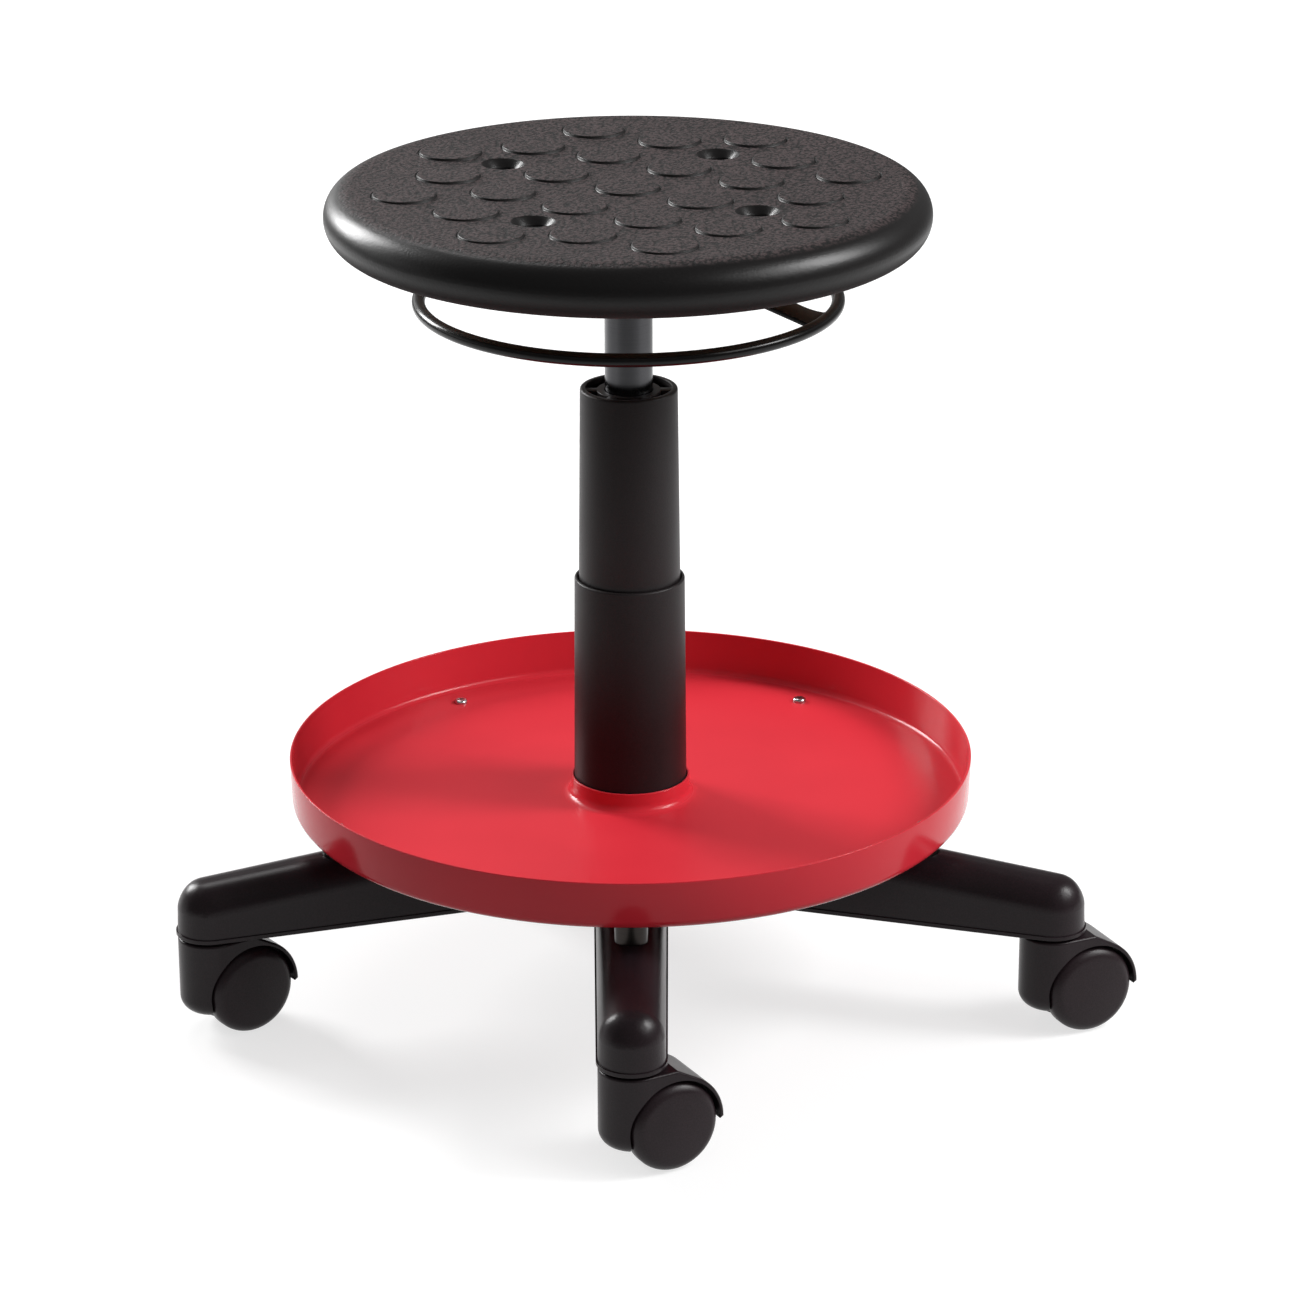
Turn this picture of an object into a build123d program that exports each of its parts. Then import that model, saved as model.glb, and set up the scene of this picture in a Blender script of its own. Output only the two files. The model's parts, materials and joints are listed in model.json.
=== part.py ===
from build123d import *
import os
from math import acos, atan2, cos, hypot, radians, sin, sqrt, tan

os.makedirs("parts", exist_ok=True)

# Maintenance stool. Millimetres, Z up, origin on the floor under the column's axis.
# The front leg points along -Y. Heights are stacked upwards from the floor.

# Shared clearances
run_fit = 0.05
slip_fit = 0.3
end_play = 0.1
overrun = 1.0

# Leg and caster layout
leg_count = 5
front_leg_azimuth = -90
leg_step = 360 / leg_count
stem_circle_r = 260.1
trail_azimuths = (29.0, 25.1, 30.0, 30.0, 35.6)

# Caster wheel
wheel_r = 26.8
wheel_w = 11.3
wheel_crown = 2.4
wheel_edge_r = 2.4
wheel_inner_edge_r = 0.8
wheel_recess_depth = 7.6
wheel_hub_r = 7.0
wheel_rim_wall = 4.2
wheel_groove_inset = 2.9
wheel_groove_w = 0.7
wheel_groove_depth = 0.5
wheel_bore_depth = 8.6

# Caster hood and axle
trail = 18.0
hood_r = 19.0
hood_web_half = 8.0
hood_side_gap = 0.5
hood_wheel_gap = 1.3
fender_wall = 2.2
hood_rise = 4.0
hood_floor_z = 14.0
hood_foot_r = 10.0
hood_edge_r = 1.6
hood_tail = 8.0
axle_r = 3.0
axle_chamfer = 0.5
axle_end_play = 0.8

# Caster stem and grip ring
stem_lower_r = 4.5
stem_lower_len = 26.0
stem_collar_r = 9.0
swivel_gap = 1.5
stem_upper_r = 5.4
stem_upper_len = 22.0
stem_nose = 2.0
grip_ring_w = 3.0
grip_ring_depth = 1.0
grip_ring_drop = 6.0
stem_socket_r = 5.5
stem_socket_spare = 2.0

# Star base
leg_end_r = 19.1
leg_root_half = 21.5
leg_root_start = 24.0
leg_end_h = 33.4
leg_slope = 0.09
leg_draft = 2.0
leg_top_round = 17.0
leg_wall = 3.6
leg_lip_h = 2.6
leg_lip_out = 0.8
leg_rib = 2.6
leg_rib_count = 4
leg_ribs_start_r = 66.0
leg_ribs_pitch = 32.0
stem_boss_r = 9.5
hub_r = 40.0
hub_drop = 10.0
hub_round = 3.0
hub_web_r = 78.0
hub_web_drop = 5.0

# Stand tube, its taper and its foot
tube_r = 25.0
tube_bore_r = 22.0
tube_taper = 1.4
tube_len = 242.0
tube_foot = 2.0
tube_floor = 3.0
bush_len = 70.0
bush_flange = 2.0
cylinder_r = 14.0

# Tray, spacers and tray screws
tray_screw_inset = 22.0
spacer_r = 9.5
spacer_h = 15.4
spacer_seat_spare = 1.2
tray_r = 203.2
tray_wall_lean = 1.2
tray_h = 29.2
tray_sheet = 1.4
tray_corner_r = 5.0
tray_collar_h = 12.0
tray_collar_corner_r = 6.2
tray_screw_r = 2.4
tray_screw_len = 34.0
tray_screw_head_r = 4.1
tray_screw_head_h = 2.4
tray_screw_head_round = 1.6
tray_screw_slot_w = 0.8
tray_screw_boss_r = 6.5

# Telescoping covers
cover_wall = 1.8
lower_cover_foot_r = 33.6
lower_cover_top_r = 32.55
lower_cover_len = 139.2
upper_cover_foot_r = 30.4
upper_cover_top_r = 28.5
upper_cover_len = 156.5
cover_overlap = 40.0
cover_edge_r = 1.5
cover_rim_w = 3.4
cover_rim_h = 4.0
spider_drop = 1.4
spider_h = 4.0
spider_ring_w = 4.4
spider_spokes = 6
spider_spoke_w = 6.0

# Gas spring inside the tube
cylinder_bore_r = 12.0
lift_down = 40.0
lift_up = 60.0
lift_margin = 6.0
rod_r = 5.0
shank_r = 4.0
race_r = 12.0
race_h = 1.5
ball_r = 2.0
ball_count = 10
ball_circle_r = 8.2
cage_h = 2.4
cage_w = 2.4
buffer_r = 12.0
buffer_h = 18.0
clip_r = 8.0
clip_h = 1.2
clip_groove = 0.8
clip_gap_w = 5.0
clip_washer_h = 1.0
guide_h = 22.0
rod_seal_h = 6.0
piston_h = 14.0
piston_seal_h = 3.0
piston_seal_depth = 2.4
rod_head_h = 2.0

# Cylinder head, socket and release lever under the seat
exposed_len = 48.5
socket_r = 18.0
socket_len = 23.5
socket_taper = 1.2
bracket_sheet = 2.5
bracket_front = 26.0
bracket_back = 20.0
bracket_room = 11.4
valve_block_h = 24.0
valve_pin_r = 4.0
valve_pin_len = 28.0
valve_rise = 6.0
valve_crown = 1.5
lever_azimuth = -25.0
bar_half_w = 10.0
bar_sheet = 3.0
bar_flat_front = 23.0
bar_flat_back = 23.0
pivot_offset = 18.0
pivot_pin_r = 2.0
pivot_drop = 1.5
knuckle_wall = 1.6
ring_r = 121.0
ring_wire_r = 3.9
ring_drop = 27.4

# Mounting plate, seat and their fasteners
plate_sheet = 3.0
plate_half = 78.0
plate_corner_r = 10.0
plate_azimuth = 9.0
bolt_half_pitch = 63.5
seat_r = 174.5
board_inset = 24.5
board_h = 9.0
seat_h = 32.0
seat_dish = 1.9
stud_r = 18.25
stud_rise = 1.2
stud_edge_r = 0.7
stud_field_inset = 46.0
stud_ring_shares = (0.395, 0.559, 0.828, 1.0)
seat_recess_r = 12.0
seat_recess_edge_r = 3.4
seat_screw_r = 3.1
seat_screw_head_r = 6.0
seat_screw_head_h = 3.8
seat_screw_head_round = 1.3
seat_screw_tail = 3.0
seat_screw_socket_r = 2.4
seat_screw_socket_depth = 2.2
seat_washer_r = 8.0
seat_washer_h = 1.2
seat_nut_r = 5.6
seat_nut_h = 5.0

# Radii that follow from others
spacer_circle_r = tray_r - tray_screw_inset
fender_r = wheel_r + hood_wheel_gap + fender_wall
board_r = seat_r - board_inset
stud_field_r = seat_r - stud_field_inset
stud_rings_r = [share * stud_field_r for share in stud_ring_shares]

# Heights, worked out from the floor up
hood_top_z = wheel_r + fender_r + hood_rise
leg_bottom_z = hood_top_z + swivel_gap
leg_end_top_z = leg_bottom_z + leg_end_h
hub_bottom_z = leg_bottom_z - hub_drop
hub_top_z = leg_end_top_z + leg_slope * (stem_circle_r - hub_r)
spacer_seat_z = leg_end_top_z + leg_slope * (stem_circle_r - spacer_circle_r - spacer_r) - spacer_seat_spare
tray_bottom_z = spacer_seat_z + spacer_h
tray_floor_z = tray_bottom_z + tray_sheet
tray_top_z = tray_bottom_z + tray_h
tube_bottom_z = hub_bottom_z - tube_foot
tube_top_z = tube_bottom_z + tube_len
lower_cover_top_z = hub_top_z + lower_cover_len
upper_cover_foot_z = lower_cover_top_z - cover_overlap
upper_cover_top_z = upper_cover_foot_z + upper_cover_len
lower_race_z = tube_bottom_z + tube_floor
balls_z = lower_race_z + race_h
upper_race_z = balls_z + 2 * ball_r + end_play
shoulder_z = upper_race_z + race_h
buffer_top_z = shoulder_z + buffer_h
cylinder_foot_z = buffer_top_z + lift_down + lift_margin
piston_z = cylinder_foot_z + guide_h + rod_seal_h + lift_up + lift_margin
socket_z = upper_cover_top_z + exposed_len
bracket_z = socket_z + socket_len
bracket_floor_z = bracket_z + bracket_sheet
cylinder_top_z = bracket_floor_z
valve_top_z = cylinder_top_z + valve_rise
bar_z = valve_top_z + end_play
pivot_z = bar_z - pivot_drop
plate_z = bracket_floor_z + bracket_room
seat_z = plate_z + plate_sheet
board_top_z = seat_z + board_h
seat_top_z = seat_z + seat_h
ring_z = bar_z - ring_drop

# Lengths shared by several pieces
wheel_face = hood_web_half + hood_side_gap
axle_half = wheel_face + wheel_bore_depth - axle_end_play
knuckle_r = pivot_pin_r + run_fit + knuckle_wall
bracket_half = bar_half_w + slip_fit * 2 + bracket_sheet
leg_azimuths = [front_leg_azimuth + leg_step * k for k in range(leg_count)]


def save(part, name):
    """Labels one finished piece and writes it as its own file."""
    part.label = name
    export_step(part, f"parts/{name}.step")


def ring_solid(outer_r, inner_r, low_z, high_z):
    """A plain ring round the column's axis, used for races, washers and seals."""
    with BuildPart() as ring:
        with BuildSketch(Plane.XY.offset(low_z)):
            Circle(outer_r)
            Circle(inner_r, mode=Mode.SUBTRACT)
        extrude(amount=high_z - low_z)
    return ring.part


def crown_at_half(half_w, rise):
    """Height of a round crown half-way from its middle to its edge."""
    radius = (half_w**2 + rise**2) / (2 * rise)
    return rise - radius + sqrt(radius**2 - (half_w / 2) ** 2)


def leg_locations(radius):
    """The places at one radius on the five legs."""
    return PolarLocations(radius, leg_count, start_angle=front_leg_azimuth)


# Caster pieces, modelled round the stem's axis with the trail along +X
def make_hood():
    """Hood with a central web, fenders over both wheels and the stem's bore."""
    reach = hypot(hood_r - trail, hood_top_z - wheel_r)
    to_corner = atan2(hood_top_z - wheel_r, hood_r - trail)
    touch = to_corner - acos(fender_r / reach)
    middle = touch / 2
    tail = (trail + fender_r, wheel_r)
    crest = (trail + fender_r * cos(touch), wheel_r + fender_r * sin(touch))
    shoulder = (trail + fender_r * cos(middle), wheel_r + fender_r * sin(middle))
    with BuildPart() as housing:
        with BuildSketch(Plane.XY.offset(hood_floor_z)):
            Circle(hood_r)
        extrude(amount=hood_top_z - hood_floor_z)
        fillet(housing.faces().sort_by(Axis.Z)[0].edges(), hood_foot_r)
        with BuildSketch(Plane.XY.offset(hood_floor_z)):
            with Locations((trail + fender_r, 0)):
                Rectangle(2 * (trail + fender_r), 2 * hood_r)
        extrude(amount=hood_top_z - hood_floor_z)
    with BuildPart() as hood:
        with BuildSketch(Plane.XZ):
            with BuildLine():
                Line((hood_r, hood_top_z), (-hood_r, hood_top_z))
                Line((-hood_r, hood_top_z), (-hood_r, hood_floor_z))
                Line((-hood_r, hood_floor_z), (trail + hood_tail, hood_floor_z))
                Line((trail + hood_tail, hood_floor_z), tail)
                ThreePointArc(tail, shoulder, crest)
                Line(crest, (hood_r, hood_top_z))
            make_face()
        extrude(amount=hood_r, both=True)
        with BuildSketch():
            Circle(hood_r)
            with Locations((trail + fender_r, 0)):
                Rectangle(2 * (trail + fender_r), 2 * hood_r)
        extrude(amount=hood_top_z, mode=Mode.INTERSECT)
        sides = hood.faces().filter_by(Axis.Y)
        fillet(sides.edges().filter_by(lambda e: e.center().Z > hood_floor_z + overrun), hood_edge_r)
        add(housing.part, mode=Mode.INTERSECT)
        for side in (1, -1):
            with BuildSketch(Plane.XZ.offset(-side * hood_web_half)):
                with Locations((trail, wheel_r)):
                    Circle(wheel_r + hood_wheel_gap)
            extrude(amount=-side * hood_r, mode=Mode.SUBTRACT)
        with BuildSketch(Plane.XY.offset(hood_top_z)):
            Circle(stem_lower_r + run_fit)
        extrude(amount=-stem_lower_len - end_play, mode=Mode.SUBTRACT)
        with BuildSketch(Plane.XZ):
            with Locations((trail, wheel_r)):
                Circle(axle_r)
        extrude(amount=hood_r, both=True, mode=Mode.SUBTRACT)
    return hood.part


def make_axle():
    """Axle pin through the web, bare at both ends for the wheels."""
    with BuildPart() as axle:
        with BuildSketch(Plane.XZ):
            with Locations((trail, wheel_r)):
                Circle(axle_r)
        extrude(amount=axle_half, both=True)
        chamfer(axle.faces().filter_by(Axis.Y).edges(), axle_chamfer)
    return axle.part


def make_wheel(side):
    """Wheel with a crowned outer face, a ring groove and a hollow inner side."""
    face = wheel_face + wheel_w
    rim_r = wheel_r - wheel_rim_wall
    groove_r = wheel_r - wheel_groove_inset
    crown_here = wheel_crown * (1 - (groove_r / wheel_r) ** 2)
    half_rise = crown_at_half(wheel_r, wheel_crown)
    with BuildPart() as wheel:
        with BuildSketch(Plane.XY) as section:
            with BuildLine():
                Line((0, wheel_face), (wheel_r, wheel_face))
                Line((wheel_r, wheel_face), (wheel_r, face))
                ThreePointArc((wheel_r, face), (wheel_r / 2, face + half_rise), (0, face + wheel_crown))
                Line((0, face + wheel_crown), (0, wheel_face))
            make_face()
            tread = section.vertices().group_by(Axis.X)[-1].sort_by(Axis.Y)
            fillet(tread[-1], wheel_edge_r)
            fillet(tread[0], wheel_inner_edge_r)
            with Locations(((wheel_hub_r + rim_r) / 2, wheel_face + wheel_recess_depth / 2)):
                Rectangle(rim_r - wheel_hub_r, wheel_recess_depth, mode=Mode.SUBTRACT)
            with Locations(((axle_r + run_fit) / 2, wheel_face + wheel_bore_depth / 2)):
                Rectangle(axle_r + run_fit, wheel_bore_depth, mode=Mode.SUBTRACT)
            with Locations((groove_r, face + crown_here)):
                Rectangle(wheel_groove_w, 2 * wheel_groove_depth, mode=Mode.SUBTRACT)
        revolve(axis=Axis.Y)
    with BuildPart() as placed:
        with Locations(Location((trail, 0, wheel_r), (0, 0, 0 if side > 0 else 180))):
            add(wheel.part)
    return placed.part


def make_stem():
    """Stem with a collar in the swivel gap and a groove for its grip ring."""
    collar_z = hood_top_z + end_play
    top = leg_bottom_z + stem_upper_len
    ring_top = top - grip_ring_drop
    with BuildPart() as stem:
        with BuildSketch(Plane.XZ):
            with BuildLine():
                Polyline(
                    (0, hood_top_z - stem_lower_len),
                    (stem_lower_r, hood_top_z - stem_lower_len),
                    (stem_lower_r, collar_z),
                    (stem_collar_r, collar_z),
                    (stem_collar_r, leg_bottom_z),
                    (stem_upper_r, leg_bottom_z),
                    (stem_upper_r, ring_top - grip_ring_w),
                    (stem_upper_r - grip_ring_depth, ring_top - grip_ring_w),
                    (stem_upper_r - grip_ring_depth, ring_top),
                    (stem_upper_r, ring_top),
                    (stem_upper_r, top - stem_nose),
                    (stem_upper_r - stem_nose, top),
                    (0, top),
                    close=True,
                )
            make_face()
        revolve(axis=Axis.Z)
    return stem.part


def write_casters():
    """Writes the five casters, each turned to its own trail."""
    hood = make_hood()
    axle = make_axle()
    left = make_wheel(1)
    right = make_wheel(-1)
    pieces = (("caster_hood", hood), ("caster_axle", axle), ("wheel_left", left), ("wheel_right", right))
    for number, (leg, turn) in enumerate(zip(leg_azimuths, trail_azimuths), start=1):
        x = stem_circle_r * cos(radians(leg))
        y = stem_circle_r * sin(radians(leg))
        for name, piece in pieces:
            with BuildPart() as placed:
                with Locations(Location((x, y, 0), (0, 0, turn))):
                    add(piece)
            save(placed.part, f"{name}_{number}")
    stem = make_stem()
    ring_top = leg_bottom_z + stem_upper_len - grip_ring_drop
    grip = ring_solid(stem_socket_r, stem_upper_r - grip_ring_depth, ring_top - grip_ring_w, ring_top)
    for name, piece in (("caster_stems", stem), ("grip_rings", grip)):
        with BuildPart() as group:
            with leg_locations(stem_circle_r):
                add(piece)
        save(group.part, name)


# Star base
def leg_outline(inset):
    """Plan of one leg along +X from inside the hub, drawn in by an inset."""
    root = leg_root_half - inset
    end = leg_end_r - inset
    reach = stem_circle_r - leg_root_start
    touch = atan2(root, -reach) - acos(end / hypot(reach, root))
    x = stem_circle_r + end * cos(touch)
    y = end * sin(touch)
    with BuildLine() as outline:
        Line((leg_root_start, root), (leg_root_start, -root))
        Line((leg_root_start, -root), (x, -y))
        ThreePointArc((x, -y), (stem_circle_r + end, 0), (x, y))
        Line((x, y), (leg_root_start, root))
    make_face(outline.edges())


def leg_top_plane(drop):
    """The sloping plane of a leg's top, lowered by a drop."""
    return Plane(
        origin=(stem_circle_r, 0, leg_end_top_z - drop),
        x_dir=(1, 0, -leg_slope),
        z_dir=(leg_slope, 0, 1),
    )


def make_leg():
    """One leg: drafted sides, sloping top with a large round, and a lip round its foot."""
    with BuildPart() as leg:
        with BuildSketch(Plane.XY.offset(leg_bottom_z)):
            leg_outline(0)
        extrude(amount=hub_top_z + hub_drop - leg_bottom_z, taper=leg_draft)
        split(bisect_by=leg_top_plane(0), keep=Keep.BOTTOM)
        top = leg.faces().sort_by(Axis.Z)[-1]
        fillet(top.edges().sort_by(Axis.X)[1:], leg_top_round)
        with BuildSketch(Plane.XY.offset(leg_bottom_z)):
            leg_outline(-leg_lip_out)
        extrude(amount=leg_lip_h)
        fillet(leg.faces().sort_by(Axis.Z)[0].edges().sort_by(Axis.X)[1:], leg_lip_out)
    return leg.part


def make_leg_pocket():
    """The hollow under one leg, as round on top as the leg, less its ribs and its two bosses."""
    height = hub_top_z - leg_bottom_z
    with BuildPart() as pocket:
        with BuildSketch(Plane.XY.offset(leg_bottom_z - overrun)):
            leg_outline(leg_wall)
        extrude(amount=height, taper=leg_draft)
        split(bisect_by=leg_top_plane(leg_wall), keep=Keep.BOTTOM)
        top = pocket.faces().sort_by(Axis.Z)[-1]
        fillet(top.edges().sort_by(Axis.X)[1:], leg_top_round - leg_wall)
        with BuildSketch(Plane.XY.offset(leg_bottom_z - overrun)):
            Circle(hub_r - leg_wall)
            with Locations((stem_circle_r, 0)):
                Circle(stem_boss_r)
            with Locations((spacer_circle_r, 0)):
                Circle(tray_screw_boss_r)
            for k in range(leg_rib_count):
                with Locations((leg_ribs_start_r + k * leg_ribs_pitch, 0)):
                    Rectangle(leg_rib, 2 * leg_root_half)
            with Locations((stem_circle_r / 2, 0)):
                Rectangle(stem_circle_r, leg_rib)
        extrude(amount=height, mode=Mode.SUBTRACT)
    return pocket.part


def write_star_base():
    """Five legs and the hub in one moulding."""
    leg = make_leg()
    pocket = make_leg_pocket()
    hub_foot_bore = tube_r - (hub_top_z - hub_bottom_z) * tan(radians(tube_taper))
    with BuildPart() as star:
        with BuildSketch(Plane.XY.offset(hub_bottom_z)):
            Circle(hub_r)
        extrude(amount=hub_top_z - hub_bottom_z)
        chamfer(star.faces().sort_by(Axis.Z)[0].edges(), hub_round)
        with BuildSketch(Plane.XY.offset(leg_bottom_z)):
            RegularPolygon(hub_web_r, leg_count, rotation=front_leg_azimuth)
        extrude(amount=hub_top_z - hub_web_drop - leg_bottom_z, taper=leg_draft)
        for azimuth in leg_azimuths:
            with Locations(Location((0, 0, 0), (0, 0, azimuth))):
                add(leg)
        for azimuth in leg_azimuths:
            with Locations(Location((0, 0, 0), (0, 0, azimuth))):
                add(pocket, mode=Mode.SUBTRACT)
        with BuildSketch(Plane.XY.offset(hub_top_z)):
            Circle(hub_r)
        extrude(amount=hub_drop, mode=Mode.SUBTRACT)
        with BuildSketch(Plane.XZ):
            with BuildLine():
                Polyline(
                    (0, hub_bottom_z),
                    (hub_foot_bore, hub_bottom_z),
                    (tube_r, hub_top_z),
                    (tube_r, hub_top_z + overrun),
                    (0, hub_top_z + overrun),
                    close=True,
                )
            make_face()
        revolve(axis=Axis.Z, mode=Mode.SUBTRACT)
        with BuildSketch(Plane.XY.offset(leg_bottom_z)):
            with leg_locations(stem_circle_r):
                Circle(stem_socket_r)
        extrude(amount=stem_upper_len + stem_socket_spare, mode=Mode.SUBTRACT)
        with BuildSketch(Plane.XY.offset(spacer_seat_z)):
            with leg_locations(spacer_circle_r):
                Circle(spacer_r + slip_fit)
        extrude(amount=hub_top_z - spacer_seat_z, mode=Mode.SUBTRACT)
        with BuildSketch(Plane.XY.offset(spacer_seat_z)):
            with leg_locations(spacer_circle_r):
                Circle(tray_screw_r)
        extrude(amount=tray_sheet + spacer_h - tray_screw_len - overrun, mode=Mode.SUBTRACT)
    save(star.part, "star_base")


# Tray and what holds it
def write_tray():
    """Round pressed tray with a leaning wall and a collar that hugs the cover."""
    mid = tray_sheet / 2
    collar_r = lower_cover_foot_r + slip_fit + mid
    floor_z = tray_bottom_z + mid
    with BuildPart() as tray:
        with BuildSketch(Plane.XZ):
            with BuildLine() as sheet:
                Polyline(
                    (collar_r, tray_floor_z + tray_collar_h),
                    (collar_r, floor_z),
                    (tray_r - tray_wall_lean - mid, floor_z),
                    (tray_r - mid, tray_top_z),
                )
                bends = sheet.vertices().group_by(Axis.Y)[0].sort_by(Axis.X)
                fillet(bends[0], tray_collar_corner_r)
                fillet(bends[1], tray_corner_r)
            trace(line_width=tray_sheet)
        revolve(axis=Axis.Z)
        with BuildSketch(Plane.XY.offset(tray_bottom_z)):
            with leg_locations(spacer_circle_r):
                Circle(tray_screw_r + slip_fit)
        extrude(amount=tray_sheet, mode=Mode.SUBTRACT)
    save(tray.part, "tool_tray")


def write_tray_fasteners():
    """Spacers between legs and tray, and the screws through them."""
    with BuildPart() as spacers:
        with BuildSketch(Plane.XY.offset(spacer_seat_z)):
            with leg_locations(spacer_circle_r):
                Circle(spacer_r)
            with leg_locations(spacer_circle_r):
                Circle(tray_screw_r + slip_fit, mode=Mode.SUBTRACT)
        extrude(amount=spacer_h)
    save(spacers.part, "tray_spacers")
    with BuildPart() as screws:
        with BuildSketch(Plane.XY.offset(tray_floor_z)):
            with leg_locations(spacer_circle_r):
                Circle(tray_screw_r)
        extrude(amount=-tray_screw_len)
        with BuildSketch(Plane.XY.offset(tray_floor_z)):
            with leg_locations(spacer_circle_r):
                Circle(tray_screw_head_r)
        extrude(amount=tray_screw_head_h)
        fillet(screws.faces().sort_by(Axis.Z).group_by(Axis.Z)[-1].edges(), tray_screw_head_round)
        with BuildSketch(Plane.XY.offset(tray_floor_z + tray_screw_head_h)):
            with leg_locations(spacer_circle_r):
                Rectangle(tray_screw_r * 2, tray_screw_slot_w)
                Rectangle(tray_screw_slot_w, tray_screw_r * 2)
        extrude(amount=-tray_screw_head_h / 2, mode=Mode.SUBTRACT)
    save(screws.part, "tray_screws")


# Column
def cover_shell(foot_r, top_r, low_z, high_z):
    """A drafted sleeve with softened edges."""
    with BuildPart() as shell:
        with BuildSketch(Plane.XZ):
            with BuildLine():
                Polyline(
                    (foot_r, low_z),
                    (top_r, high_z),
                    (top_r - cover_wall, high_z),
                    (foot_r - cover_wall, low_z),
                    close=True,
                )
            make_face()
        revolve(axis=Axis.Z)
        rims = shell.edges().filter_by(GeomType.CIRCLE).group_by(Axis.Z)[-1]
        fillet(rims.sort_by(SortBy.RADIUS)[-1], cover_edge_r)
    return shell.part


def write_covers():
    """Lower cover on the hub, and the upper cover with its spoked top."""
    lower = cover_shell(lower_cover_foot_r, lower_cover_top_r, hub_top_z, lower_cover_top_z)
    save(lower, "lower_cover")
    shell = cover_shell(upper_cover_foot_r, upper_cover_top_r, upper_cover_foot_z, upper_cover_top_z)
    rim_bore = upper_cover_top_r - cover_rim_w
    ring_bore = cylinder_r + slip_fit
    spider_z = upper_cover_top_z - spider_drop - spider_h
    with BuildPart() as upper:
        add(shell)
        with BuildSketch(Plane.XY.offset(upper_cover_top_z - cover_rim_h)):
            Circle(upper_cover_top_r - cover_wall / 2)
            Circle(rim_bore, mode=Mode.SUBTRACT)
        extrude(amount=cover_rim_h)
        with BuildSketch(Plane.XY.offset(spider_z)):
            Circle(ring_bore + spider_ring_w)
            with PolarLocations((rim_bore + ring_bore) / 2, spider_spokes):
                Rectangle(rim_bore - ring_bore + cover_rim_w, spider_spoke_w)
            Circle(ring_bore, mode=Mode.SUBTRACT)
        extrude(amount=spider_h)
    save(upper.part, "upper_cover")


def write_stand_tube():
    """Stand tube with a tapered foot, its closed floor and the guide bush in its top."""
    foot_r = tube_r - (hub_top_z - tube_bottom_z) * tan(radians(tube_taper))
    with BuildPart() as tube:
        with BuildSketch(Plane.XZ):
            with BuildLine():
                Polyline(
                    (shank_r + slip_fit, tube_bottom_z),
                    (foot_r, tube_bottom_z),
                    (tube_r, hub_top_z),
                    (tube_r, tube_top_z),
                    (tube_bore_r, tube_top_z),
                    (tube_bore_r, tube_bottom_z + tube_floor),
                    (shank_r + slip_fit, tube_bottom_z + tube_floor),
                    close=True,
                )
            make_face()
        revolve(axis=Axis.Z)
    save(tube.part, "stand_tube")
    with BuildPart() as bush:
        with BuildSketch(Plane.XY.offset(tube_top_z - bush_len)):
            Circle(tube_bore_r)
        extrude(amount=bush_len)
        with BuildSketch(Plane.XY.offset(tube_top_z)):
            Circle(tube_r)
        extrude(amount=bush_flange)
        with BuildSketch(Plane.XY.offset(tube_top_z + bush_flange)):
            Circle(cylinder_r + run_fit)
        extrude(amount=-bush_len - bush_flange, mode=Mode.SUBTRACT)
    save(bush.part, "guide_bush")


def write_foot_bearing():
    """Thrust bearing, buffer, washer and clip at the foot of the rod."""
    save(ring_solid(race_r, shank_r + slip_fit, lower_race_z, lower_race_z + race_h), "lower_race")
    save(ring_solid(race_r, shank_r + run_fit, upper_race_z, upper_race_z + race_h), "upper_race")
    ball_z = balls_z + ball_r + end_play / 2
    with BuildPart() as balls:
        with BuildPart(Plane.XY.offset(ball_z), mode=Mode.PRIVATE) as one:
            Sphere(ball_r)
        with PolarLocations(ball_circle_r, ball_count):
            add(one.part)
    save(balls.part, "bearing_balls")
    with BuildPart() as cage:
        with BuildSketch(Plane.XY.offset(ball_z - cage_h / 2)):
            Circle(ball_circle_r + cage_w)
            Circle(ball_circle_r - cage_w, mode=Mode.SUBTRACT)
            with PolarLocations(ball_circle_r, ball_count):
                Circle(ball_r + run_fit, mode=Mode.SUBTRACT)
        extrude(amount=cage_h)
    save(cage.part, "bearing_cage")
    save(ring_solid(buffer_r, rod_r + slip_fit, shoulder_z + end_play, buffer_top_z), "rubber_buffer")
    washer_top = tube_bottom_z - end_play
    save(ring_solid(clip_r, shank_r + run_fit, washer_top - clip_washer_h, washer_top), "clip_washer")
    clip_top = washer_top - clip_washer_h
    with BuildPart() as clip:
        with BuildSketch(Plane.XY.offset(clip_top)):
            Circle(clip_r - clip_groove)
            Circle(shank_r - clip_groove, mode=Mode.SUBTRACT)
            with Locations((clip_r, 0)):
                Rectangle(2 * clip_r, clip_gap_w, mode=Mode.SUBTRACT)
        extrude(amount=-clip_h)
    save(clip.part, "retaining_clip")


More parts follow.
